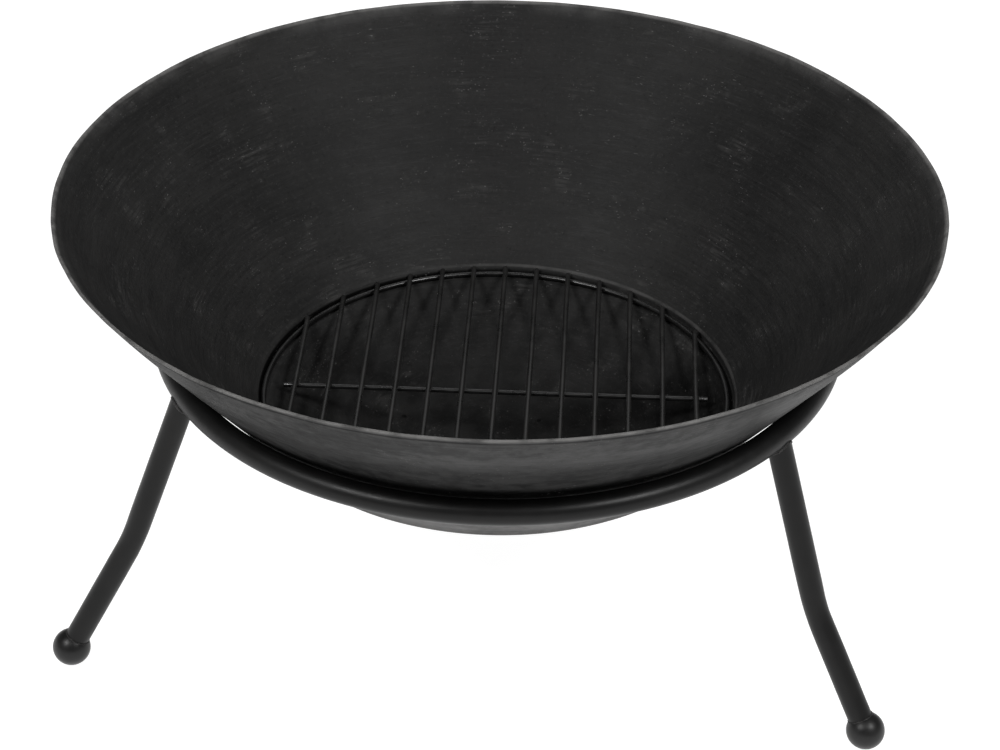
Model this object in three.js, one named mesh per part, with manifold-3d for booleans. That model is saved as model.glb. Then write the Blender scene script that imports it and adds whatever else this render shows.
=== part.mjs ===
// Fire pit with grate: an open steel bowl on a three-legged ring stand, with a loose wire grate inside.
// Millimetres, +Z up. The feet stand on Z = 0 and the origin is the middle of the footprint.

import * as THREE from 'three';
import { mergeVertices } from 'three/addons/utils/BufferGeometryUtils.js';
import Module from 'manifold-3d';

const wasm = await Module();
wasm.setup();

// ---------------------------------------------------------------------------
// Driving dimensions
// ---------------------------------------------------------------------------

const RIM_RADIUS = 285;
const RIM_HEIGHT = 303;
// The back foot reaches further out than the rim, so the bowl's axis stands a little forward of the origin.
const AXIS_Y = -13.25;
const CLEARANCE = 0.3;
const ROUND_SEGMENTS = 60;

// Bowl, as radius and depth below the rim. The wall is a cone that turns up slightly at the rim.
const BOWL_OUTSIDE = [
  [0, 200],
  [45, 200],
  [72, 196.2],
  [97, 189.6],
  [118, 180.3],
  [134.3, 169.9],
  [145.6, 161.9],
  [151, 158.2],
  [157.6, 157.2],
  [159.6, 155.6],
  [160.2, 153.6],
  [161.3, 151.4],
  [163.2, 148.8],
  [213.4, 89],
  [264.2, 28.5],
  [285, 0.9],
];
const BOWL_INSIDE = [
  [284.4, 0],
  [283.1, 0],
  [262.4, 27.6],
  [211.9, 87.7],
  [162.4, 146.8],
  [160.2, 149.2],
  [158.9, 151],
  [158.3, 152.6],
  [158.1, 154.3],
  [157.4, 155.4],
  [151, 156.3],
  [144.5, 160.2],
  [133.2, 168.2],
  [117, 178.5],
  [96.3, 187.7],
  [71.6, 194.2],
  [45, 198],
  [0, 198],
];

// Stand
const RING_BAR_RADIUS = 8;
const RING_RADIUS = 218.07;
const RING_DEPTH = 96.44;
const LEG_TUBE_RADIUS = 8;
// The stand is welded by hand, so the legs are not spaced quite evenly, and the left one leans a little.
const LEGS = [
  { weldAngle: 90, footAngle: 90, bendHeight: 92 },
  { weldAngle: 214, footAngle: 208.6, bendHeight: 97 },
  { weldAngle: 330.5, footAngle: 331, bendHeight: 89 },
];
const BEND_SHARE = 0.463;
const BEND_FILLET = 12;
const LEG_START = 4.5;
const BALL_RADIUS = 12.5;
const BALL_HEIGHT = 12;
const FOOT_RADIUS = 299;

// Grate, lying in the recess of the bowl
const WIRE_RADIUS = 1.75;
const GRATE_RADIUS = 154.5;
const GRATE_DEPTH = 153.55;
const GRATE_TURN = 5.7;
const GRATE_OFFSET = [-1.4, -0.3];
const BAR_COUNT = 13;
const BAR_PITCH = 22.3;
const BAR_OVERHANG = 2.5;
const CROSS_BAR_LENGTH = 284;

// ---------------------------------------------------------------------------
// Materials
// ---------------------------------------------------------------------------

const bowlPaint = new THREE.MeshStandardMaterial({ color: 0x2b2c2e, roughness: 0.55, metalness: 0.35 });
const standPaint = new THREE.MeshStandardMaterial({ color: 0x242527, roughness: 0.45, metalness: 0.3 });
const grateSteel = new THREE.MeshStandardMaterial({ color: 0x3a3a3a, roughness: 0.5, metalness: 0.5 });

// ---------------------------------------------------------------------------
// Helpers
// ---------------------------------------------------------------------------

const radians = (degrees) => THREE.MathUtils.degToRad(degrees);

// Turns a closed three.js geometry into a solid that can be cut.
function toSolid(geometry) {
  const bare = geometry.clone();
  bare.deleteAttribute('normal');
  bare.deleteAttribute('uv');
  const merged = mergeVertices(bare, 1e-4);
  const mesh = new wasm.Mesh({
    numProp: 3,
    vertProperties: new Float32Array(merged.attributes.position.array),
    triVerts: new Uint32Array(merged.index.array),
  });
  return new wasm.Manifold(mesh);
}

// Turns a solid back into a three.js geometry.
function toGeometry(solid) {
  const { vertProperties, triVerts } = solid.getMesh();
  const geometry = new THREE.BufferGeometry();
  geometry.setAttribute('position', new THREE.BufferAttribute(new Float32Array(vertProperties), 3));
  geometry.setIndex(new THREE.BufferAttribute(new Uint32Array(triVerts), 1));
  geometry.computeVertexNormals();
  return geometry;
}

// A lathe around +Z from a list of [radius, height] points.
function turned(profile, segments) {
  const points = profile.map(([radius, height]) => new THREE.Vector2(radius, height));
  const geometry = new THREE.LatheGeometry(points, segments);
  geometry.rotateX(Math.PI / 2);
  return geometry;
}

// A closed ring of round bar lying flat.
function ringOfBar(radius, barRadius, sides) {
  return new THREE.TorusGeometry(radius, barRadius, sides, ROUND_SEGMENTS);
}

function named(name, geometry, material) {
  const mesh = new THREE.Mesh(geometry, material);
  mesh.name = name;
  return mesh;
}

// ---------------------------------------------------------------------------
// Bowl
// ---------------------------------------------------------------------------

function bowlGeometry() {
  const profile = [...BOWL_OUTSIDE, ...BOWL_INSIDE].map(([radius, depth]) => [radius, RIM_HEIGHT - depth]);
  return turned(profile, ROUND_SEGMENTS);
}

// ---------------------------------------------------------------------------
// Stand
// ---------------------------------------------------------------------------

// A point at a radius, an angle in degrees and a height around the bowl's axis.
function pointAround(radius, angle, height) {
  return new THREE.Vector3(radius * Math.cos(radians(angle)), radius * Math.sin(radians(angle)), height);
}

// Centre line of a leg in an upright plane: straight from the ring, a soft bend, then straight to the ball.
class LegLine extends THREE.Curve {
  constructor({ weldAngle, footAngle, bendHeight }) {
    super();
    const top = pointAround(RING_RADIUS, weldAngle, RIM_HEIGHT - RING_DEPTH);
    const foot = pointAround(FOOT_RADIUS, footAngle, BALL_HEIGHT);
    const bend = top.clone().lerp(foot, BEND_SHARE);
    bend.z = bendHeight;
    const down = bend.clone().sub(top).normalize();
    const out = foot.clone().sub(bend).normalize();
    const start = top.clone().addScaledVector(down, LEG_START);
    const before = bend.clone().addScaledVector(down, -BEND_FILLET);
    const after = bend.clone().addScaledVector(out, BEND_FILLET);
    this.path = new THREE.CurvePath();
    this.path.add(new THREE.LineCurve3(start, before));
    this.path.add(new THREE.QuadraticBezierCurve3(before, bend, after));
    this.path.add(new THREE.LineCurve3(after, foot));
  }

  getPoint(t, target = new THREE.Vector3()) {
    return target.copy(this.path.getPoint(t));
  }
}

function discShape(radius, sides) {
  const corners = [];
  for (let i = 0; i < sides; i += 1) {
    const angle = (2 * Math.PI * i) / sides;
    corners.push(new THREE.Vector2(radius * Math.cos(angle), radius * Math.sin(angle)));
  }
  return new THREE.Shape(corners);
}

// The tube is notched at the top to fit under the ring, and at the bottom to fit over the ball.
function legGeometry(leg) {
  const tube = new THREE.ExtrudeGeometry(discShape(LEG_TUBE_RADIUS, 12), {
    steps: 16,
    bevelEnabled: false,
    extrudePath: new LegLine(leg),
  });
  const ring = ringOfBar(RING_RADIUS, RING_BAR_RADIUS + CLEARANCE, 12);
  ring.translate(0, 0, RIM_HEIGHT - RING_DEPTH);
  const ball = new THREE.SphereGeometry(BALL_RADIUS + 1.4 * CLEARANCE, 24, 16);
  ball.translate(...pointAround(FOOT_RADIUS, leg.footAngle, BALL_HEIGHT));
  return toGeometry(toSolid(tube).subtract(toSolid(ring)).subtract(toSolid(ball)));
}

// A ball with a small worn flat underneath, on which the pit stands.
function ballGeometry() {
  const arcs = 10;
  const low = Math.acos(BALL_HEIGHT / BALL_RADIUS);
  const profile = [[0, 0]];
  for (let i = 0; i <= arcs; i += 1) {
    const angle = low + ((Math.PI - low) * i) / arcs;
    const radius = i === arcs ? 0 : BALL_RADIUS * Math.sin(angle);
    profile.push([radius, i === 0 ? 0 : BALL_HEIGHT - BALL_RADIUS * Math.cos(angle)]);
  }
  return turned(profile, 20);
}

function buildStand() {
  const stand = new THREE.Group();
  const ring = named('support_ring', ringOfBar(RING_RADIUS, RING_BAR_RADIUS, 12), standPaint);
  ring.position.z = RIM_HEIGHT - RING_DEPTH;
  stand.add(ring);
  const ball = ballGeometry();
  LEGS.forEach((leg, i) => {
    stand.add(named(`leg_${i + 1}`, legGeometry(leg), standPaint));
    const foot = named(`ball_foot_${i + 1}`, ball, standPaint);
    foot.position.copy(pointAround(FOOT_RADIUS, leg.footAngle, 0));
    stand.add(foot);
  });
  return stand;
}

// ---------------------------------------------------------------------------
// Grate
// ---------------------------------------------------------------------------

// Straight bars lie on top of a wire ring and run just past it. One cross bar runs underneath them, inside the ring.
function buildGrate() {
  const grate = new THREE.Group();
  grate.position.set(GRATE_OFFSET[0], GRATE_OFFSET[1], RIM_HEIGHT - GRATE_DEPTH);
  grate.rotation.z = radians(GRATE_TURN);
  grate.add(named('grate_ring', ringOfBar(GRATE_RADIUS, WIRE_RADIUS, 8), grateSteel));
  for (let i = 0; i < BAR_COUNT; i += 1) {
    const x = (i - (BAR_COUNT - 1) / 2) * BAR_PITCH;
    const length = 2 * (Math.sqrt(GRATE_RADIUS ** 2 - x ** 2) + BAR_OVERHANG);
    const shape = new THREE.CylinderGeometry(WIRE_RADIUS, WIRE_RADIUS, length, 8);
    const bar = named(`grate_bar_${String(i + 1).padStart(2, '0')}`, shape, grateSteel);
    bar.position.set(x, 0, 2 * WIRE_RADIUS + CLEARANCE);
    grate.add(bar);
  }
  const crossShape = new THREE.CylinderGeometry(WIRE_RADIUS, WIRE_RADIUS, CROSS_BAR_LENGTH, 8);
  crossShape.rotateZ(Math.PI / 2);
  grate.add(named('grate_cross_bar', crossShape, grateSteel));
  return grate;
}

// ---------------------------------------------------------------------------
// Assembly
// ---------------------------------------------------------------------------

const firePit = new THREE.Group();
firePit.position.y = AXIS_Y;
firePit.add(buildStand());
firePit.add(named('bowl', bowlGeometry(), bowlPaint));
firePit.add(buildGrate());

export default firePit;
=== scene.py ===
"""Fire pit with grate: a thin steel fire bowl on a ring stand with three bent legs, and a loose wire grate.

Every piece is in metres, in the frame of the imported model. It rides on one of the model's bodies, which are
the stand, the bowl and the grate.
"""

import math

import bmesh
import bpy
from mathutils import Matrix, Vector, noise


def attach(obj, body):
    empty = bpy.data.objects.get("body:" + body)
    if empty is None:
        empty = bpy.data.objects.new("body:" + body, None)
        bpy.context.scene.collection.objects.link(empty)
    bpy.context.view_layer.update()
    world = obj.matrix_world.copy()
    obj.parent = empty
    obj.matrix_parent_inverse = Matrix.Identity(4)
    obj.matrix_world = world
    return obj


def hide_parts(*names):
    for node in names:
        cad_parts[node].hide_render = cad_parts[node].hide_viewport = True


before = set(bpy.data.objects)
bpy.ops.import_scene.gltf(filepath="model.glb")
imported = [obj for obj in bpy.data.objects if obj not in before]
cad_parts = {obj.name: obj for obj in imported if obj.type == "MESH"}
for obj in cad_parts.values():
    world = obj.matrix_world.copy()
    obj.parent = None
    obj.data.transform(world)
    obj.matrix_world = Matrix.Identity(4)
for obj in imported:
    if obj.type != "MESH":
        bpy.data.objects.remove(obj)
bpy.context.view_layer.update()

MM = 0.001

# ---------------------------------------------------------------------------
# Dimensions, in millimetres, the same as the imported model's
# ---------------------------------------------------------------------------

AXIS_Y = -13.25
RIM_HEIGHT = 303.0
RING_RADIUS = 218.07
RING_HEIGHT = RIM_HEIGHT - 96.44
RING_BAR_RADIUS = 8.0
LEG_TUBE_RADIUS = 8.0
# Each leg: the angle of its weld on the ring, the angle of its foot, and the height of its bend.
LEGS = ((90.0, 90.0, 92.0), (214.0, 208.6, 97.0), (330.5, 331.0, 89.0))
BEND_SHARE, BEND_FILLET, LEG_START = 0.463, 12.0, 4.5
FOOT_RADIUS, BALL_HEIGHT, BALL_RADIUS = 299.0, 12.0, 12.5
GRATE_RADIUS, WIRE_RADIUS = 154.5, 1.75
GRATE_HEIGHT = RIM_HEIGHT - 153.55
GRATE_TURN = 5.7
GRATE_OFFSET = (-1.4, -0.3)
BAR_COUNT, BAR_PITCH, BAR_OVERHANG, BAR_LIFT = 13, 22.3, 2.5, 3.8
CROSS_BAR_LENGTH = 284.0

# Section of the bowl from the middle of the underside, up the outside, over the rim and down the inside:
# radius, depth below the rim, and the size of the rounding at that corner.
BOWL_SECTION = (
    (0.0, 200.0, 0),
    (45.0, 200.0, 18),
    (72.0, 196.2, 22),
    (97.0, 189.6, 22),
    (118.0, 180.3, 22),
    (134.3, 169.9, 20),
    (145.6, 161.9, 7),
    (151.0, 158.2, 4),
    (157.6, 157.2, 3),
    (159.6, 155.6, 2.0),
    (160.2, 153.6, 2.0),
    (161.3, 151.4, 2.0),
    (163.2, 148.8, 3.0),
    (213.4, 89.0, 40),
    (264.2, 28.5, 40),
    (285.0, 0.9, 0.8),
    (284.4, 0.0, 0.5),
    (283.1, 0.0, 0.5),
    (262.4, 27.6, 40),
    (211.9, 87.7, 40),
    (162.4, 146.8, 2.0),
    (160.2, 149.2, 1.6),
    (158.9, 151.0, 1.0),
    (158.3, 152.6, 1.0),
    (158.1, 154.3, 0.7),
    (157.4, 155.4, 0.7),
    (151.0, 156.3, 3),
    (144.5, 160.2, 7),
    (133.2, 168.2, 20),
    (117.0, 178.5, 22),
    (96.3, 187.7, 22),
    (71.6, 194.2, 22),
    (45.0, 198.0, 18),
    (0.0, 198.0, 0),
)

# ---------------------------------------------------------------------------
# Details that only the looks have, in millimetres and degrees
# ---------------------------------------------------------------------------

# Places on the bowl: its seat on the ring, the wall of the recess, and the edge above that wall.
SEAT_DEPTH = 92.0
RECESS_RADIUS = 158.1
RECESS_EDGE_RADIUS = 160.2
# Two small black dots on the floor of the bowl: painted shade that stands for two small holes, which are not
# modelled.
HOLE_SHADE_SPOTS = ((-67.0, 21.0), (24.0, 36.0))
# Where the butt weld of the stand's ring is.
SEAM_ANGLE = 203.5
# How far short of the ball's centre a leg ends.
LEG_END = 8.0
# How far the rounded end of a wire reaches past its straight part.
WIRE_CAP = 0.45

# How finely the pieces are divided.
BOWL_SEGMENTS, BOWL_LONGEST_STEP = 288, 7.0
CORNER_STEPS = 4
RING_STEPS, RING_SIDES = 480, 32
LEG_UPPER_STEPS, LEG_BEND_STEPS, LEG_LOWER_STEPS, LEG_SIDES = 24, 16, 16, 36
LEG_WELD_STEPS, LEG_WELD_SIDES = 160, 12
FOOT_WELD_STEPS, FOOT_WELD_SIDES = 72, 10
BALL_ARCS, BALL_SEGMENTS = 28, 48
HOOP_STEPS, BAR_STEPS, CROSS_BAR_STEPS, WIRE_SIDES = 360, 24, 28, 16

# ---------------------------------------------------------------------------
# Studio: camera in millimetres and degrees, lights in metres, degrees and watts
# ---------------------------------------------------------------------------

# The camera looks at the bowl from above the open side between two legs.
CAMERA_AZIMUTH = -82.1
CAMERA_ELEVATION = 29.03
CAMERA_DISTANCE = 1792.2
CAMERA_PAN, CAMERA_TILT, CAMERA_ROLL = 0.0486, 3.7671, -0.8492
CAMERA_LENS = 100.8

# Name, azimuth from the camera's side, positive to the right, elevation, distance, size and power.
LIGHTS = (
    ("softbox_left", -48, 44, 2.2, (0.5, 0.5), 24),
    ("softbox_right", 48, 44, 2.2, (0.5, 0.5), 25),
    ("softbox_front", 0, 52, 2.4, (2.6, 0.3), 7),
    ("softbox_back", 178, 62, 2.4, (1.6, 0.6), 8),
    ("backdrop", 180, 35, 2.6, (2.4, 0.8), 3),
)
LIGHT_AIM_HEIGHT = 0.2
FLOOR_GLOW = 0.965
FLOOR_REACH = 14.0
SKY_LOW, SKY_HIGH = 0.36, 0.035

# ---------------------------------------------------------------------------
# Mesh helpers
# ---------------------------------------------------------------------------


def new_object(name, verts, faces, material, body, replaces=(), smooth_angle=50):
    """A mesh object from vertices in millimetres around the bowl's axis."""
    mesh = bpy.data.meshes.new(name)
    mesh.from_pydata([(x * MM, (y + AXIS_Y) * MM, z * MM) for x, y, z in verts], [], faces)
    tidy = bmesh.new()
    tidy.from_mesh(mesh)
    bmesh.ops.remove_doubles(tidy, verts=tidy.verts, dist=1e-6)
    bmesh.ops.recalc_face_normals(tidy, faces=tidy.faces)
    tidy.to_mesh(mesh)
    tidy.free()
    obj = bpy.data.objects.new(name, mesh)
    bpy.context.scene.collection.objects.link(obj)
    mesh.shade_smooth()
    mesh.set_sharp_from_angle(angle=math.radians(smooth_angle))
    mesh.materials.append(material)
    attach(obj, body)
    if replaces:
        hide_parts(*replaces)
    return obj


def wobble(x, y, z, scale, seed):
    """Smooth noise from -1 to 1 at a point in millimetres, with features about `scale` millimetres wide."""
    return noise.noise(Vector((x / scale + seed, y / scale - seed, z / scale + 3.7 * seed)))


def round_angles(count):
    """Evenly spaced angles once round."""
    return [2 * math.pi * k / count for k in range(count)]


def arc(start, corner, end, steps):
    """Points of a smooth curve from start to end that sets off towards the corner and arrives from it."""
    points = []
    for k in range(steps + 1):
        t = k / steps
        points.append(start * (1 - t) ** 2 + corner * (2 * t * (1 - t)) + end * t**2)
    return points


def rounded(section):
    """Replaces each corner of a section by an arc of the given size, or less where its sides are short."""
    points = []
    for i, (r, z, size) in enumerate(section):
        here = Vector((r, z))
        if size == 0:
            points.append(here)
            continue
        before = Vector(section[i - 1][:2]) - here
        after = Vector(section[i + 1][:2]) - here
        reach = min(size, 0.47 * before.length, 0.47 * after.length)
        first = here + before.normalized() * reach
        last = here + after.normalized() * reach
        points += arc(first, here, last, CORNER_STEPS)
    return points


def split_long(points, longest):
    """Adds points so that no step of a section is longer than `longest`."""
    out = [points[0]]
    for a, b in zip(points, points[1:]):
        parts = max(1, math.ceil((b - a).length / longest))
        out += [a.lerp(b, k / parts) for k in range(1, parts + 1)]
    return out


def lathe(points, segments, shift):
    """Turns a section of (radius, height) round the axis. shift(x, y, z) moves each point a little."""
    verts, rings = [], []
    for r, z in points:
        if r < 1e-6:
            rings.append([len(verts)])
            verts.append((0.0, 0.0, z))
            continue
        rings.append(range(len(verts), len(verts) + segments))
        verts += [shift(r * math.cos(angle), r * math.sin(angle), z) for angle in round_angles(segments)]
    faces = []
    for low, high in zip(rings, rings[1:]):
        for k in range(segments):
            n = (k + 1) % segments
            if len(low) == 1 and len(high) == 1:
                continue
            if len(low) == 1:
                faces.append((low[0], high[n], high[k]))
            elif len(high) == 1:
                faces.append((low[k], low[n], high[0]))
            else:
                faces.append((low[k], low[n], high[n], high[k]))
    return verts, faces


def tube_faces(rows, sides, closed):
    """Quads from each row of a tube to the next one, and from the last to the first where it is closed."""
    faces = []
    for i in range(rows if closed else rows - 1):
        j = (i + 1) % rows
        for k in range(sides):
            n = (k + 1) % sides
            faces.append((i * sides + k, i * sides + n, j * sides + n, j * sides + k))
    return faces


def carried_frames(tangents):
    """Two directions across a path at each of its points, carried along it without twisting."""
    side = tangents[0].orthogonal().normalized()
    frames = []
    for along in tangents:
        side = (side - along * side.dot(along)).normalized()
        frames.append((side.copy(), along.cross(side)))
    return frames


def sweep(path, radius, sides, cap=0.0):
    """A round bar along an open path. radius(i, angle) is its radius. cap rounds the ends by that much."""
    last = len(path) - 1
    tangents = [(path[min(i + 1, last)] - path[max(i - 1, 0)]).normalized() for i in range(last + 1)]
    frames = carried_frames(tangents)
    # Each section: its centre, the point of the path that it belongs to, and the scale of its radius.
    sections = [(centre, i, 1.0) for i, centre in enumerate(path)]
    if cap:
        tapers = ((1.0, 0.55), (0.75, 0.82), (0.35, 0.96))
        start = [(path[0] - tangents[0] * cap * reach, 0, scale) for reach, scale in tapers]
        end = [(path[last] + tangents[last] * cap * reach, last, scale) for reach, scale in tapers[::-1]]
        sections = start + sections + end
    verts = []
    for centre, i, scale in sections:
        u, v = frames[i]
        for angle in round_angles(sides):
            reach = radius(i, angle) * scale
            verts.append(tuple(centre + (u * math.cos(angle) + v * math.sin(angle)) * reach))
    rows = len(sections)
    faces = tube_faces(rows, sides, closed=False)
    faces.append(tuple(range(sides)))
    faces.append(tuple(range((rows - 1) * sides, rows * sides)))
    return verts, faces


def closed_sweep(path, radius, sides):
    """A round bar along any closed path. The frame's twist is spread evenly, so the ends meet."""
    count = len(path)
    tangents = [(path[(i + 1) % count] - path[i - 1]).normalized() for i in range(count)]
    frames = carried_frames(tangents)
    first, side = frames[0][0], frames[-1][0]
    back = (side - tangents[0] * side.dot(tangents[0])).normalized()
    twist = math.atan2(back.cross(first).dot(tangents[0]), back.dot(first))
    verts = []
    for i, centre in enumerate(path):
        u, v = frames[i]
        for angle in round_angles(sides):
            place = angle + twist * i / count
            verts.append(tuple(centre + (u * math.cos(place) + v * math.sin(place)) * radius(i, angle)))
    return verts, tube_faces(count, sides, closed=True)


def ring_sweep(path, radius, sides):
    """A round bar along a closed level path, with a frame that stays upright so that the ends meet."""
    count = len(path)
    up = Vector((0, 0, 1))
    verts, faces = [], []
    for i, centre in enumerate(path):
        along = (path[(i + 1) % count] - path[i - 1]).normalized()
        side = along.cross(up).normalized()
        for angle in round_angles(sides):
            verts.append(tuple(centre + (side * math.cos(angle) + up * math.sin(angle)) * radius(i, angle)))
    for i in range(count):
        j = (i + 1) % count
        for k in range(sides):
            n = (k + 1) % sides
            faces.append((i * sides + k, j * sides + k, j * sides + n, i * sides + n))
    return verts, faces


def circle(radius, height, steps, waviness, seed):
    """A level circle that is not quite true, as a list of points in millimetres."""
    path = []
    for angle in round_angles(steps):
        x, y = math.cos(angle), math.sin(angle)
        r = radius + waviness * noise.noise(Vector((2 * x + seed, 2 * y, seed)))
        rise = 0.5 * waviness * noise.noise(Vector((2 * x, 2 * y + seed, 9.1)))
        path.append(Vector((r * x, r * y, height + rise)))
    return path


def around(radius, degrees, height):
    """A point at a radius, an angle and a height around the bowl's axis."""
    angle = math.radians(degrees)
    return Vector((radius * math.cos(angle), radius * math.sin(angle), height))


# ---------------------------------------------------------------------------
# Materials
# ---------------------------------------------------------------------------


class Paint:
    """Builds one procedural material from a few kinds of node. Its points are in metres."""

    def __init__(self, name):
        self.material = bpy.data.materials.new(name)
        self.material.use_nodes = True
        self.tree = self.material.node_tree
        self.tree.nodes.clear()
        self.shader = self.tree.nodes.new("ShaderNodeBsdfPrincipled")
        output = self.tree.nodes.new("ShaderNodeOutputMaterial")
        self.tree.links.new(self.shader.outputs["BSDF"], output.inputs["Surface"])
        self.point = self.tree.nodes.new("ShaderNodeTexCoord").outputs["Object"]
        self.normal = self.tree.nodes.new("ShaderNodeNewGeometry").outputs["Normal"]

    def feed(self, socket, value):
        if isinstance(value, bpy.types.NodeSocket):
            self.tree.links.new(value, socket)
        else:
            socket.default_value = value

    def math(self, operation, a, b=0.0):
        node = self.tree.nodes.new("ShaderNodeMath")
        node.operation = operation
        for socket, value in zip(node.inputs, (a, b)):
            self.feed(socket, value)
        return node.outputs[0]

    def add(self, a, b):
        return self.math("ADD", a, b)

    def less(self, a, b):
        return self.math("SUBTRACT", a, b)

    def times(self, first, *others):
        for other in others:
            first = self.math("MULTIPLY", first, other)
        return first

    def most(self, first, *others):
        for other in others:
            first = self.math("MAXIMUM", first, other)
        return first

    def blend(self, first, *others):
        """The sum of pairs of a value and its share."""
        total = self.times(*first)
        for pair in others:
            total = self.add(total, self.times(*pair))
        return total

    def length(self, x, y):
        return self.math("SQRT", self.add(self.times(x, x), self.times(y, y)))

    def vector(self, x, y, z):
        node = self.tree.nodes.new("ShaderNodeCombineXYZ")
        for socket, value in zip(node.inputs, (x, y, z)):
            self.feed(socket, value)
        return node.outputs[0]

    def split(self, vector):
        node = self.tree.nodes.new("ShaderNodeSeparateXYZ")
        self.feed(node.inputs[0], vector)
        return node.outputs

    def noise(self, scale, vector=None, detail=3.0, roughness=0.55):
        node = self.tree.nodes.new("ShaderNodeTexNoise")
        self.feed(node.inputs["Vector"], vector or self.point)
        node.inputs["Scale"].default_value = scale
        node.inputs["Detail"].default_value = detail
        node.inputs["Roughness"].default_value = roughness
        return node.outputs["Fac"]

    def cells(self, scale):
        """Distance to the middle of the nearest of many scattered cells."""
        node = self.tree.nodes.new("ShaderNodeTexVoronoi")
        self.feed(node.inputs["Vector"], self.point)
        node.inputs["Scale"].default_value = scale
        return node.outputs["Distance"]

    def span(self, value, low, high, out_low=0.0, out_high=1.0):
        """Maps low..high smoothly to out_low..out_high."""
        node = self.tree.nodes.new("ShaderNodeMapRange")
        node.interpolation_type = "SMOOTHSTEP"
        for name, number in (("Value", value), ("From Min", low), ("From Max", high),
                             ("To Min", out_low), ("To Max", out_high)):
            self.feed(node.inputs[name], number)
        return node.outputs["Result"]

    def band(self, value, start, full, fade, end):
        """1 between full and fade, and 0 before start and after end."""
        return self.times(self.span(value, start, full), self.span(value, fade, end, 1.0, 0.0))

    def mix(self, factor, a, b):
        node = self.tree.nodes.new("ShaderNodeMix")
        node.data_type = "RGBA"
        self.feed(node.inputs["Factor"], factor)
        self.feed(node.inputs["A"], a)
        self.feed(node.inputs["B"], b)
        return node.outputs["Result"]

    def bump(self, height, distance, strength, normal=None):
        node = self.tree.nodes.new("ShaderNodeBump")
        node.inputs["Distance"].default_value = distance
        node.inputs["Strength"].default_value = strength
        self.feed(node.inputs["Height"], height)
        if normal:
            self.feed(node.inputs["Normal"], normal)
        return node.outputs["Normal"]

    def finish(self, colour, roughness, normal, specular):
        self.feed(self.shader.inputs["Base Color"], colour)
        self.feed(self.shader.inputs["Roughness"], roughness)
        self.feed(self.shader.inputs["Normal"], normal)
        self.feed(self.shader.inputs["Specular IOR Level"], specular)
        return self.material


def grey(value, warm=0.0):
    return (value * (1 + warm), value, value * (1 - warm), 1.0)


class BowlPaint(Paint):
    """The bowl's paint. Its own places are in millimetres from the bowl's axis and below the rim."""

    def __init__(self):
        super().__init__("bowl_paint")
        x, y, z = self.split(self.point)
        y = self.less(y, AXIS_Y * MM)
        radius = self.length(x, y)
        safe = self.most(radius, 0.004)
        self.round_x = self.math("DIVIDE", x, safe)
        self.round_y = self.math("DIVIDE", y, safe)
        # Distance up the wall, near enough: streaks run round the bowl and are thin across it.
        self.up = self.blend((radius, 0.64), (z, 0.77))
        self.x, self.y, self.radius = (self.times(value, 1 / MM) for value in (x, y, radius))
        self.depth = self.times(self.less(RIM_HEIGHT * MM, z), 1 / MM)
        # The painted highlight and shade round the recess lie a little wider on the left than on the right.
        self.lopsided = self.add(self.radius, self.times(self.x, 0.006))

        self.outside = self.span(self.split(self.normal)[2], -0.1, -0.3)
        self.back = self.times(self.span(self.round_y, 0.2, 0.95), self.less(1.0, self.outside))
        self.brush = self.streaks(7.0, 420.0, 3.0)
        self.broad = self.streaks(3.0, 90.0, 2.0)
        self.clouds = self.noise(9.0, detail=5.0, roughness=0.6)
        self.patches = self.noise(34.0, detail=4.0, roughness=0.65)
        blotches = self.noise(120.0, detail=4.0, roughness=0.6)
        coarse = self.streaks(2.2, 26.0, 4.0)
        self.mottle = self.blend((coarse, 0.45), (self.brush, 0.25), (blotches, 0.30))

    def streaks(self, around, across, detail):
        """Noise drawn out round the bowl: around and across say how fine it is each way."""
        place = self.vector(self.times(self.round_x, around), self.times(self.round_y, around),
                            self.times(self.up, across))
        return self.noise(1.0, place, detail, roughness=0.6)


def brushed_coat(p):
    """Nearly black paint with brush marks and speckles, darker outside and at the back."""
    tone = p.blend((p.clouds, 0.5), (p.brush, 0.3), (p.broad, 0.2))
    colour = p.mix(p.span(tone, 0.32, 0.70), grey(0.013), grey(0.025, 0.02))
    speckle = p.noise(380.0, detail=3.0, roughness=0.7)
    colour = p.mix(p.span(speckle, 0.55, 0.75, 0.0, 0.4), colour, grey(0.05, 0.01))
    colour = p.mix(p.span(speckle, 0.28, 0.42, 0.5, 0.0), colour, grey(0.004))
    colour = p.mix(p.times(p.outside, 0.6), colour, grey(0.006))
    return p.mix(p.times(p.back, 0.22), colour, grey(0.004))


def outside_bloom_and_floor_sheen(p, colour):
    """Outside, a mottled grey bloom; below the ring, a pale painted reflection of the bright floor."""
    bloom = p.times(p.outside, p.span(p.mottle, 0.43, 0.57))
    colour = p.mix(p.times(bloom, 0.85), colour, grey(0.046, 0.01))
    # Painted reflection: below the ring the outside is painted paler, standing for light bounced up from the
    # floor.
    under = p.times(p.outside, p.span(p.depth, SEAT_DEPTH + 8, SEAT_DEPTH + 20))
    return p.mix(p.times(under, p.span(p.mottle, 0.35, 0.62, 0.45, 1.0)), colour, grey(0.14, 0.01))


def scuffs(p, colour):
    """Pale, flat rubbed patches with broken edges."""
    scuff = p.times(p.span(p.patches, 0.54, 0.68), p.span(p.brush, 0.44, 0.62))
    return p.mix(p.times(scuff, 0.4), colour, grey(0.055, 0.02))


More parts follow.
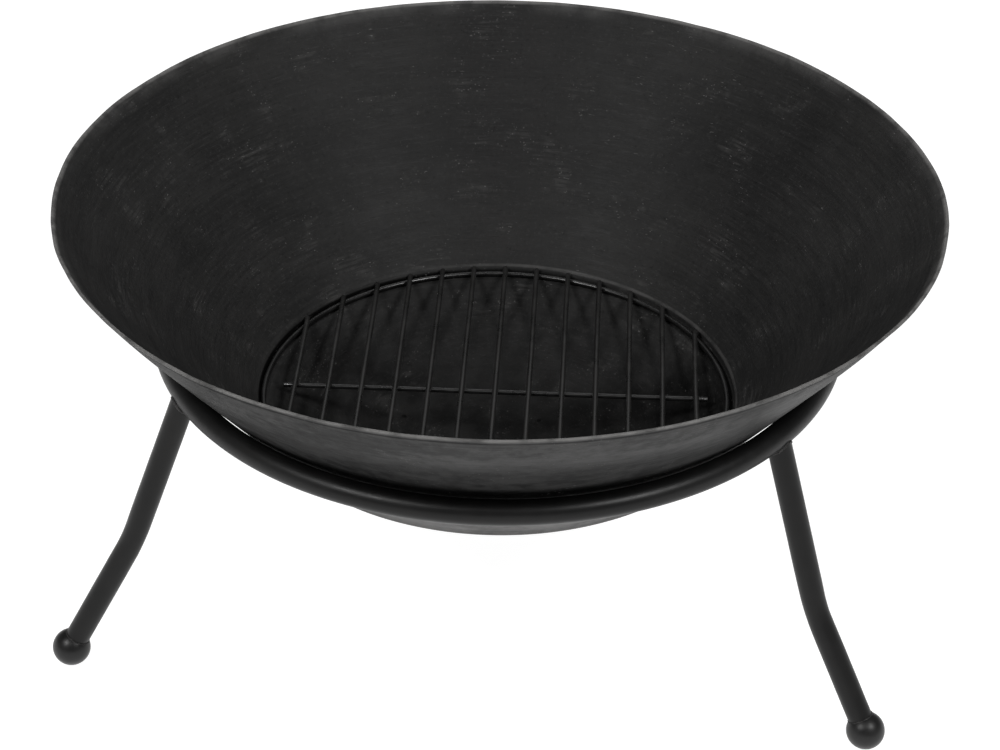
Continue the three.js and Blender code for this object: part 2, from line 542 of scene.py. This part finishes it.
def edge_highlights_and_rubs(p):
    """Painted highlights along the rim and, as a thin line, round the top of the recess, with pale rubbed
    patches near the rim.
    """
    # Painted highlight: a pale band along the edge of the rim.
    rim = p.span(p.depth, 0.6, 2.6, 1.0, 0.0)
    soft_rim = p.times(p.span(p.depth, 0.0, 10.0, 1.0, 0.0), p.span(p.noise(12.0), 0.4, 0.6))
    edge = RECESS_EDGE_RADIUS
    # Painted highlight: a thin pale line round the top of the recess, fainter on the left.
    recess = p.band(p.lopsided, edge - 1.0, edge - 0.5, edge + 0.1, edge + 0.9)
    recess = p.times(recess, p.span(p.x, -100.0, 20.0, 0.1, 1.0))
    return p.most(rim, p.times(recess, 0.30), p.times(soft_rim, 0.35))


def painted_shade_and_stains(p):
    """Where the bowl is blackest, from 0 to 1: painted shade, and real stains on the floor."""
    # Painted shade: a thin dark line just under the rim, outside.
    line_under_rim = p.band(p.depth, 2.6, 3.4, 4.2, 5.6)
    # Painted shade: outside, the wall is blacker towards its seat on the ring, with a ragged edge above it.
    ragged = p.add(p.depth, p.times(p.less(p.mottle, 0.5), 50.0))
    seat = p.most(p.span(ragged, 30.0, 55.0, 0.0, 0.45), p.span(p.depth, SEAT_DEPTH - 26, SEAT_DEPTH - 8))
    seat = p.times(seat, p.span(p.depth, SEAT_DEPTH + 6, SEAT_DEPTH + 10, 1.0, 0.0))
    wall = RECESS_RADIUS
    # Painted shade in the corner of the recess, under the grate's hoop.
    corner = p.band(p.lopsided, wall - 5.6, wall - 2.6, wall - 0.3, wall + 0.6)
    # Painted shadow: the front of the floor is darker, most of all to the right.
    front_shadow = p.add(p.y, p.times(p.less(p.clouds, 0.5), 30.0))
    front_shadow = p.times(p.span(front_shadow, 48.0, 80.0, 1.0, 0.0), p.span(p.x, -20.0, 120.0, 0.34, 0.58))
    stains = p.span(p.noise(42.0, detail=4.0, roughness=0.62), 0.38, 0.62, 0.22, 0.0)
    floor = p.times(p.add(front_shadow, stains), p.span(p.radius, wall - 8.1, wall - 2.1, 1.0, 0.0))
    return p.most(p.times(p.outside, line_under_rim, 0.65), p.times(p.outside, seat),
                  p.times(corner, 0.95), floor)


def painted_hole_shade(p, colour):
    # Painted shade: a small black dot where each hole would look dark.
    for spot_x, spot_y in HOLE_SHADE_SPOTS:
        away = p.length(p.less(p.x, spot_x), p.less(p.y, spot_y))
        colour = p.mix(p.span(away, 1.0, 2.4, 1.0, 0.0), colour, grey(0.001))
    return colour


def scratches(p, colour):
    """Fine scratches round the bowl, short pale nicks, and specks of pale dust."""
    scratch = p.streaks(16.0, 1500.0, 2.0)
    colour = p.mix(p.span(scratch, 0.62, 0.74, 0.0, 0.3), colour, grey(0.055, 0.01))
    colour = p.mix(p.span(scratch, 0.28, 0.38, 0.35, 0.0), colour, grey(0.003))
    nick = p.times(p.span(p.streaks(70.0, 900.0, 1.0), 0.70, 0.76), p.span(p.patches, 0.45, 0.6))
    colour = p.mix(p.times(nick, 0.55), colour, grey(0.12, 0.02))
    dust = p.times(p.span(p.cells(260.0), 0.10, 0.16, 1.0, 0.0), p.span(p.patches, 0.52, 0.62))
    return p.mix(p.times(dust, 0.35), colour, grey(0.16, 0.02))


def bowl_material():
    """Matt black paint brushed round the bowl, with painted highlights on the rim and the edge of the recess.
    """
    p = BowlPaint()
    colour = scuffs(p, outside_bloom_and_floor_sheen(p, brushed_coat(p)))
    # Painted highlight on the rim and the recess edge, with some real rubbed patches near the rim.
    rubbed = edge_highlights_and_rubs(p)
    broken = p.span(p.noise(70.0, detail=4.0), 0.30, 0.60, 0.35, 1.0)
    colour = p.mix(p.times(rubbed, broken), colour, grey(0.13, 0.02))
    # Painted shade: black under the rim, at the seat on the ring, in the corner of the recess and over the
    # front of the floor; the floor also has real stains.
    shade = painted_shade_and_stains(p)
    colour = p.mix(shade, colour, grey(0.0015))
    colour = scratches(p, painted_hole_shade(p, colour))

    rough = p.span(p.blend((p.brush, 0.6), (p.patches, 0.4)), 0.3, 0.7, 0.46, 0.62)
    rough = p.less(rough, p.times(rubbed, 0.10))
    # The painted shade and stains, the back of the inside, and the outside, mostly on the left, shine less.
    gloss = p.times(p.less(1.0, p.times(shade, 0.95)), 0.13)
    dull = p.times(p.outside, p.span(p.x, -100.0, 10.0, 0.80, 0.36))
    gloss = p.times(gloss, p.less(1.0, p.times(p.back, 0.25)), p.less(1.0, dull))
    normal = p.bump(p.noise(55.0, detail=2.0), 0.0006, 0.9)
    normal = p.bump(p.blend((p.brush, 1.0), (p.broad, 0.8)), 0.00016, 0.7, normal)
    normal = p.bump(p.noise(900.0, detail=2.0), 0.00006, 0.6, normal)
    return p.finish(colour, rough, normal, gloss)


def stand_material(name, tint, chips, shine):
    """Satin black paint with an orange-peel skin and small chips. Fewer show as `chips` goes up."""
    p = Paint(name)
    clouds = p.noise(26.0, detail=4.0, roughness=0.6)
    pits = p.noise(150.0, detail=3.0)
    colour = p.mix(p.span(clouds, 0.32, 0.7), grey(tint * 0.75), grey(tint * 1.3, 0.02))
    chip = p.times(p.span(p.cells(95.0), 0.05, 0.085, 1.0, 0.0), p.span(clouds, chips, chips + 0.08))
    colour = p.mix(p.times(chip, 0.7), colour, grey(0.22, 0.02))
    rough = p.span(p.blend((clouds, 0.6), (pits, 0.4)), 0.3, 0.7, 0.36, 0.46)
    normal = p.bump(pits, 0.0002, 0.3)
    normal = p.bump(p.noise(420.0, detail=2.0), 0.00006, 0.4, normal)
    return p.finish(colour, rough, normal, shine)


def weld_material():
    """Rough painted-over weld metal."""
    p = Paint("weld_paint")
    lumps = p.noise(520.0, detail=4.0, roughness=0.65)
    ripples = p.noise(240.0, detail=2.0)
    colour = p.mix(p.span(lumps, 0.35, 0.7), grey(0.016), grey(0.04, 0.03))
    rough = p.span(ripples, 0.3, 0.7, 0.42, 0.62)
    return p.finish(colour, rough, p.bump(lumps, 0.0004, 0.8), 0.2)


def grate_material():
    """Black wire, rubbed a little paler along the top where fuel drags over it."""
    p = Paint("grate_paint")
    z = p.split(p.point)[2]
    soot_patches = p.noise(60.0, detail=4.0, roughness=0.6)
    top = p.span(z, (GRATE_HEIGHT + 1.0) * MM, (GRATE_HEIGHT + BAR_LIFT + WIRE_RADIUS) * MM)
    colour = p.mix(p.span(soot_patches, 0.3, 0.7), grey(0.004), grey(0.009, 0.02))
    worn = p.times(top, 0.8, p.span(soot_patches, 0.3, 0.75, 0.3, 0.7))
    colour = p.mix(worn, colour, grey(0.024, 0.03))
    rough = p.span(soot_patches, 0.3, 0.7, 0.26, 0.36)
    normal = p.bump(p.noise(120.0, detail=2.0), 0.0001, 0.12)
    normal = p.bump(p.noise(700.0, detail=2.0), 0.00002, 0.3, normal)
    return p.finish(colour, rough, normal, 0.55)


def floor_material():
    """Plain pale studio floor, lit evenly from inside so that it bounces light up onto the object."""
    p = Paint("floor_white")
    p.shader.inputs["Emission Color"].default_value = (1.0, 1.0, 1.0, 1.0)
    p.shader.inputs["Emission Strength"].default_value = FLOOR_GLOW
    cloud = p.noise(2.0, detail=1.0)
    return p.finish(p.mix(cloud, grey(0.28), grey(0.32)), 0.9, p.bump(cloud, 0.0001, 0.1), 0.1)


# ---------------------------------------------------------------------------
# Camera, lights and floor
# ---------------------------------------------------------------------------


def turn(axis, degrees):
    return Matrix.Rotation(math.radians(degrees), 3, axis)


def place_camera():
    """It looks at the middle of the rim, turned a little, and is swung round the bowl's axis."""
    elevation = math.radians(CAMERA_ELEVATION)
    position = Vector((0, -CAMERA_DISTANCE * math.cos(elevation), CAMERA_DISTANCE * math.sin(elevation)))
    forward = -position.normalized()
    right = Vector((1, 0, 0))
    up = right.cross(forward)
    look = Matrix((right, up, -forward))
    look = turn("Z", CAMERA_ROLL) @ turn("X", CAMERA_TILT) @ turn("Y", CAMERA_PAN) @ look
    spin = turn("Z", CAMERA_AZIMUTH + 90)
    camera = bpy.data.objects.new("camera", bpy.data.cameras.new("camera"))
    camera.data.lens = CAMERA_LENS
    camera.data.sensor_width = 36.0
    camera.data.clip_start = 0.05
    camera.data.clip_end = 60.0
    matrix = (spin @ look.transposed()).to_4x4()
    matrix.translation = (spin @ position + Vector((0, AXIS_Y, RIM_HEIGHT))) * MM
    camera.matrix_world = matrix
    bpy.context.scene.collection.objects.link(camera)
    bpy.context.scene.camera = camera


def add_light(name, azimuth, elevation, distance, size, power):
    """A rectangular softbox that points at the bowl."""
    data = bpy.data.lights.new(name, "AREA")
    data.shape = "RECTANGLE"
    data.size, data.size_y = size
    data.energy = power
    angle = math.radians(CAMERA_AZIMUTH + azimuth)
    rise = math.radians(elevation)
    aim = Vector((0, AXIS_Y * MM, LIGHT_AIM_HEIGHT))
    offset = Vector((math.cos(angle) * math.cos(rise), math.sin(angle) * math.cos(rise), math.sin(rise)))
    light = bpy.data.objects.new(name, data)
    light.location = aim + offset * distance
    light.rotation_euler = (-offset).to_track_quat("-Z", "Y").to_euler()
    bpy.context.scene.collection.objects.link(light)


def build_sky():
    """White light from all round that is stronger near the horizon than overhead."""
    world = bpy.data.worlds.new("studio")
    bpy.context.scene.world = world
    world.use_nodes = True
    nodes, links = world.node_tree.nodes, world.node_tree.links
    background = nodes["Background"]
    coordinates = nodes.new("ShaderNodeTexCoord")
    split = nodes.new("ShaderNodeSeparateXYZ")
    fade = nodes.new("ShaderNodeMapRange")
    links.new(coordinates.outputs["Generated"], split.inputs[0])
    links.new(split.outputs["Z"], fade.inputs["Value"])
    fade.inputs["From Min"].default_value = 0.0
    fade.inputs["From Max"].default_value = 0.5
    fade.inputs["To Min"].default_value = SKY_LOW
    fade.inputs["To Max"].default_value = SKY_HIGH
    links.new(fade.outputs["Result"], background.inputs["Strength"])
    background.inputs["Color"].default_value = (1.0, 1.0, 1.0, 1.0)


def build_floor():
    reach = FLOOR_REACH
    corners = [(-reach, -reach, 0), (reach, -reach, 0), (reach, reach, 0), (-reach, reach, 0)]
    mesh = bpy.data.meshes.new("floor")
    mesh.from_pydata(corners, [], [(0, 1, 2, 3)])
    mesh.materials.append(floor_material())
    floor = bpy.data.objects.new("floor", mesh)
    bpy.context.scene.collection.objects.link(floor)


def build_studio():
    bpy.context.scene.view_settings.view_transform = "Standard"
    build_sky()
    build_floor()
    for light in LIGHTS:
        add_light(*light)


# ---------------------------------------------------------------------------
# Bowl
# ---------------------------------------------------------------------------


def dent(x, y, z):
    """Moves a point of the bowl a little, as the wall is not quite true. It is truest at its seat."""
    depth = RIM_HEIGHT - z
    free = min(1.0, abs(depth - SEAT_DEPTH) / 60.0) if depth < 150 else 0.25
    radius = math.hypot(x, y)
    out = (0.55 * wobble(x, y, 0.6 * z, 75, 2.1) + 0.3 * wobble(x, y, z, 28, 5.3)) * free
    near_rim = max(0.0, 1 - depth / 20.0)
    out += 0.25 * near_rim * wobble(x, y, 0, 14, 8.8)
    drop = near_rim * (0.3 * wobble(x, y, 0, 120, 4.4) + 0.12 * wobble(x, y, 0, 30, 6.1) - 0.2)
    scale = 1 + (out - 0.2 * near_rim) / max(radius, 40.0)
    return (x * scale, y * scale, z + drop)


def build_bowl(material):
    section = [(r, RIM_HEIGHT - depth, size) for r, depth, size in BOWL_SECTION]
    points = split_long(rounded(section), BOWL_LONGEST_STEP)
    verts, faces = lathe(points, BOWL_SEGMENTS, dent)
    new_object("fire_bowl", verts, faces, material, "bowl", ("bowl",))


# ---------------------------------------------------------------------------
# Stand
# ---------------------------------------------------------------------------


def build_ring(material):
    path = circle(RING_RADIUS, RING_HEIGHT, RING_STEPS, 0.15, 1.3)

    def radius(i, angle):
        # A butt weld closes the ring: a low bead with a groove on each side.
        off = (i * 360 / RING_STEPS - SEAM_ANGLE + 180) % 360 - 180
        across = abs(math.radians(off)) * RING_RADIUS
        bead = 0.22 * math.exp(-((across / 1.6) ** 2)) - 0.55 * math.exp(-(((across - 3.2) / 0.9) ** 2))
        lump = 1 + 0.5 * noise.noise(Vector((i * 0.9, 2 * math.cos(angle), 2 * math.sin(angle))))
        return RING_BAR_RADIUS - 0.04 + bead * lump

    verts, faces = ring_sweep(path, radius, RING_SIDES)
    new_object("stand_ring", verts, faces, material, "stand", ("support_ring",))


def build_leg_tube(number, path, bend, seed, material):
    def radius(i, angle):
        # The tube flattens a little at the bend.
        squeeze = math.exp(-(((path[i] - bend).length / 14) ** 2))
        ripple = 0.06 * noise.noise(Vector((i * 0.35 + seed, 1.5 * math.cos(angle), 1.5 * math.sin(angle))))
        return LEG_TUBE_RADIUS - 0.05 + ripple - 0.35 * squeeze * abs(math.cos(angle)) ** 2

    verts, faces = sweep(path, radius, LEG_SIDES)
    new_object(f"leg_tube_{number}", verts, faces, material, "stand", (f"leg_{number}",))


def build_leg_weld(number, top, down, across, seed, weld):
    """Weld bead in the corner between the end of the tube and the ring."""
    inward = across.cross(down)
    along_ring = Vector((-top.y, top.x, 0)).normalized()
    bead, sizes = [], []
    for k, angle in enumerate(round_angles(LEG_WELD_STEPS)):
        way = inward * math.cos(angle) + across * math.sin(angle)
        # beside is how far this side of the tube is from the ring's centre line, as a share of the tube.
        beside = abs(way.cross(along_ring).dot(down))
        reach = LEG_TUBE_RADIUS * (1.0 - 0.17 * beside**2)
        below = math.sqrt(max(RING_BAR_RADIUS**2 - (reach * beside) ** 2, LEG_START**2))
        jitter = 0.25 * noise.noise(Vector((k * 0.33, seed, 0.4)))
        bead.append(top + down * (below + 0.35 + jitter) + way * (reach - 0.1))
        sizes.append(0.9 + 0.4 * beside)

    def radius(i, angle):
        scales = 0.1 * math.sin(i * 1.15 + seed)
        return sizes[i] + scales + 0.3 * noise.noise(Vector((i * 0.21, seed, math.cos(angle))))

    verts, faces = closed_sweep(bead, radius, LEG_WELD_SIDES)
    new_object(f"leg_weld_{number}", verts, faces, weld, "stand")


def build_foot_weld(number, foot, out, across, seed, weld):
    """Thin bead where the tube goes into the ball."""
    depth = math.sqrt(BALL_RADIUS**2 - LEG_TUBE_RADIUS**2)
    side = out.cross(across)
    collar = []
    for angle in round_angles(FOOT_WELD_STEPS):
        way = side * math.cos(angle) + across * math.sin(angle)
        collar.append(foot - out * (depth + 0.1) + way * (LEG_TUBE_RADIUS + 0.05))

    def radius(i, angle):
        return 0.45 + 0.25 * noise.noise(Vector((i * 0.4, seed, math.cos(angle))))

    verts, faces = closed_sweep(collar, radius, FOOT_WELD_SIDES)
    new_object(f"foot_weld_{number}", verts, faces, weld, "stand")


def build_leg(number, leg, material, weld):
    """A tube that is straight from the ring, bends softly and is straight to the ball, with its welds."""
    weld_angle, foot_angle, bend_height = leg
    top = around(RING_RADIUS, weld_angle, RING_HEIGHT)
    foot = around(FOOT_RADIUS, foot_angle, BALL_HEIGHT)
    bend = top.lerp(foot, BEND_SHARE)
    bend.z = bend_height
    down = (bend - top).normalized()
    out = (foot - bend).normalized()
    across = Vector((0, 0, 1)).cross(foot - top).normalized()
    before = bend - down * BEND_FILLET
    after = bend + out * BEND_FILLET
    start = top + down * LEG_START
    end = foot - out * LEG_END
    path = [start.lerp(before, k / LEG_UPPER_STEPS) for k in range(LEG_UPPER_STEPS)]
    path += arc(before, bend, after, LEG_BEND_STEPS)
    path += [after.lerp(end, k / LEG_LOWER_STEPS) for k in range(1, LEG_LOWER_STEPS + 1)]

    seed = 3.1 * number
    build_leg_tube(number, path, bend, seed, material)
    build_leg_weld(number, top, down, across, seed, weld)
    build_foot_weld(number, foot, out, across, seed, weld)


def build_feet(material):
    """Steel balls, slightly out of round, each with a small worn flat underneath."""
    low = math.acos(BALL_HEIGHT / BALL_RADIUS)
    for number, (_, foot_angle, _) in enumerate(LEGS, 1):
        points = [Vector((0, 0.0)), Vector((2.4, 0.0)), Vector((3.1, 0.04))]
        for k in range(1, BALL_ARCS + 1):
            angle = low + (math.pi - low) * k / BALL_ARCS
            r = BALL_RADIUS * math.sin(angle) if k < BALL_ARCS else 0.0
            points.append(Vector((r, BALL_HEIGHT - BALL_RADIUS * math.cos(angle))))

        def shift(x, y, z, seed=number):
            lump = 1 - 0.006 + 0.006 * wobble(x, y, z, 9, seed) if z > 0.5 else 1.0
            return (x * lump, y * lump, BALL_HEIGHT + (z - BALL_HEIGHT) * lump if z > 0.5 else z)

        verts, faces = lathe(points, BALL_SEGMENTS, shift)
        place = around(FOOT_RADIUS, foot_angle, 0)
        verts = [(x + place.x, y + place.y, z) for x, y, z in verts]
        new_object(f"ball_{number}", verts, faces, material, "stand", (f"ball_foot_{number}",))


# ---------------------------------------------------------------------------
# Grate
# ---------------------------------------------------------------------------


def grate_place(point):
    """From the grate's own frame to the bowl's, in millimetres."""
    angle = math.radians(GRATE_TURN)
    x, y, z = point
    return (GRATE_OFFSET[0] + x * math.cos(angle) - y * math.sin(angle),
            GRATE_OFFSET[1] + x * math.sin(angle) + y * math.cos(angle),
            GRATE_HEIGHT + z)


def wire(name, path, node, material, seed):
    """A wire with rounded ends along a path in the grate's own frame."""
    def radius(i, angle):
        return WIRE_RADIUS - 0.02 + 0.035 * noise.noise(Vector((i * 0.5, seed, math.cos(angle))))

    verts, faces = sweep(path, radius, WIRE_SIDES, WIRE_CAP)
    verts = [grate_place(v) for v in verts]
    new_object(name, verts, faces, material, "grate", (node,), smooth_angle=60)


def blob(centre, size, seed):
    """A small lump of weld metal."""
    lump = bmesh.new()
    bmesh.ops.create_icosphere(lump, subdivisions=2, radius=1.0)
    verts = []
    for vert in lump.verts:
        grow = 1 + 0.18 * noise.noise(vert.co * 1.7 + Vector((seed, seed, 0)))
        verts.append(tuple(centre[a] + vert.co[a] * size[a] * grow for a in range(3)))
    faces = [tuple(v.index for v in face.verts) for face in lump.faces]
    lump.free()
    return verts, faces


def build_hoop(material):
    """The closed wire round the grate."""
    path = circle(GRATE_RADIUS, 0, HOOP_STEPS, 0.25, 7.7)

    def radius(i, angle):
        return WIRE_RADIUS - 0.02 + 0.03 * noise.noise(Vector((i * 0.3, 2.2, math.cos(angle))))

    verts, faces = ring_sweep(path, radius, WIRE_SIDES)
    verts = [grate_place(v) for v in verts]
    new_object("grate_hoop", verts, faces, material, "grate", ("grate_ring",))


def bar_places():
    """Each bar's number from 0, how far right of the middle it is, and half its chord of the hoop."""
    places = []
    for i in range(BAR_COUNT):
        x = (i - (BAR_COUNT - 1) / 2) * BAR_PITCH
        places.append((i, x, math.sqrt(GRATE_RADIUS**2 - x**2)))
    return places


def build_bars(material):
    """Nearly straight bars on top of the hoop."""
    for i, x, chord in bar_places():
        half = chord + BAR_OVERHANG - WIRE_CAP
        bar = []
        for k in range(BAR_STEPS + 1):
            y = -half + 2 * half * k / BAR_STEPS
            bow = 0.35 * noise.noise(Vector((y / 90, i * 1.9, 0.3)))
            rise = 0.12 * noise.noise(Vector((y / 70, i * 2.3, 5.0)))
            bar.append(Vector((x + bow, y, BAR_LIFT + rise)))
        wire(f"bar_{i + 1:02d}", bar, f"grate_bar_{i + 1:02d}", material, i + 0.5)


def build_cross_bar(material):
    """One wire under the bars, inside the hoop."""
    half = CROSS_BAR_LENGTH / 2 - WIRE_CAP
    cross = []
    for k in range(CROSS_BAR_STEPS + 1):
        x = -half + 2 * half * k / CROSS_BAR_STEPS
        cross.append(Vector((x, 0.2 * noise.noise(Vector((x / 90, 4.2, 1.0))), 0)))
    wire("cross_bar", cross, "grate_cross_bar", material, 40.5)


def build_grate_welds(weld):
    """Resistance welds: a small collar of metal wherever a bar crosses the hoop or the cross bar."""
    verts, faces = [], []
    level = BAR_LIFT / 2 + 0.1
    for i, x, chord in bar_places():
        spots = [((x, sign * chord, level), (1.75, 1.75, 0.75), i + 3.3 * sign) for sign in (-1, 1)]
        if abs(x) < CROSS_BAR_LENGTH / 2:
            spots.append(((x, 0, level), (1.7, 1.7, 0.75), i + 11.0))
        for spot in spots:
            spot_verts, spot_faces = blob(*spot)
            faces += [tuple(len(verts) + corner for corner in face) for face in spot_faces]
            verts += spot_verts
    new_object("grate_welds", [grate_place(v) for v in verts], faces, weld, "grate")


def build_grate(material, weld):
    build_hoop(material)
    build_bars(material)
    build_cross_bar(material)
    build_grate_welds(weld)


# ---------------------------------------------------------------------------
# Scene
# ---------------------------------------------------------------------------

place_camera()
build_studio()

bowl_paint = bowl_material()
stand_paint = stand_material("stand_paint", 0.006, 0.62, 0.22)
ball_paint = stand_material("ball_paint", 0.010, 0.5, 0.32)
weld_paint = weld_material()
grate_paint = grate_material()

build_bowl(bowl_paint)
build_ring(stand_paint)
for leg_number, leg in enumerate(LEGS, 1):
    build_leg(leg_number, leg, stand_paint, weld_paint)
build_feet(ball_paint)
build_grate(grate_paint, weld_paint)
